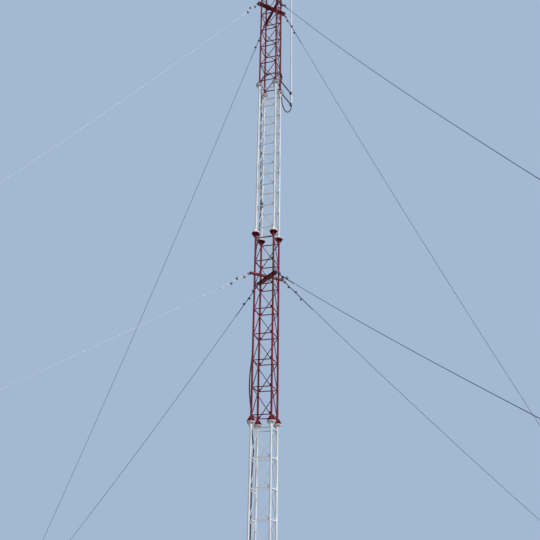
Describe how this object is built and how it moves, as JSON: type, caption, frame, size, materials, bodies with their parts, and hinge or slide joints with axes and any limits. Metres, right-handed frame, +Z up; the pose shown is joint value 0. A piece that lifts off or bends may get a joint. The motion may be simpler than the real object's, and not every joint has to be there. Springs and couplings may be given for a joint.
{
  "type": "guyed lattice radio mast",
  "caption": "Square guyed lattice mast of flanged tube sections in red and white bands, stayed by wire ropes to ground anchors, with a whip aerial on side arms.",
  "frame": {"origin": "centre of the base plinth's flat underside, on the mast's axis at ground level", "axes": "+Z up along the mast, front is -Y, back is +Y, left is -X, right is +X"},
  "size_m": [27.4532, 25.0807, 25.385],
  "materials": {
    "fibreglass": "white fibreglass, satin",
    "dark_steel": "dark grey paint, matt",
    "concrete": "rough cast concrete, weathered",
    "galvanised_steel": "hot-dip galvanised, dull",
    "black_plastic": "black polyethylene sheath, satin",
    "wire_rope": "galvanised wire rope, dull",
    "red_paint": "deep red paint, faded and grimy",
    "white_paint": "off-white gloss paint, weathered"
  },
  "bodies": {
    "root": {"aerial": "fibreglass", "aerial_arms": "dark_steel", "aerial_foot": "fibreglass", "anchor_blocks": "concrete", "anchor_plates": "galvanised_steel", "base_plate": "galvanised_steel", "base_plinth": "concrete", "feeder_cable": "black_plastic", "feeder_clips": "galvanised_steel", "lower_guy_back_left": "wire_rope", "lower_guy_back_right": "wire_rope", "lower_guy_beam_1": "red_paint", "lower_guy_beam_2": "red_paint", "lower_guy_front_left": "wire_rope", "lower_guy_front_right": "wire_rope", "lower_guy_shackles": "galvanised_steel", "section_1_bracing_back": "white_paint", "section_1_bracing_front": "white_paint", "section_1_bracing_left": "white_paint", "section_1_bracing_right": "white_paint", "section_1_legs": "white_paint", "section_2_bracing_back": "red_paint", "section_2_bracing_front": "red_paint", "section_2_bracing_left": "red_paint", "section_2_bracing_right": "red_paint", "section_2_legs": "red_paint", "section_3_bracing_back": "white_paint", "section_3_bracing_front": "white_paint", "section_3_bracing_left": "white_paint", "section_3_bracing_right": "white_paint", "section_3_legs": "white_paint", "section_4_bracing_back": "red_paint", "section_4_bracing_front": "red_paint", "section_4_bracing_left": "red_paint", "section_4_bracing_right": "red_paint", "section_4_legs": "red_paint", "turnbuckles": "galvanised_steel", "upper_guy_back_left": "wire_rope", "upper_guy_back_right": "wire_rope", "upper_guy_beam_1": "red_paint", "upper_guy_beam_2": "red_paint", "upper_guy_front_left": "wire_rope", "upper_guy_front_right": "wire_rope", "upper_guy_shackles": "galvanised_steel"}
  },
  "joints": []
}
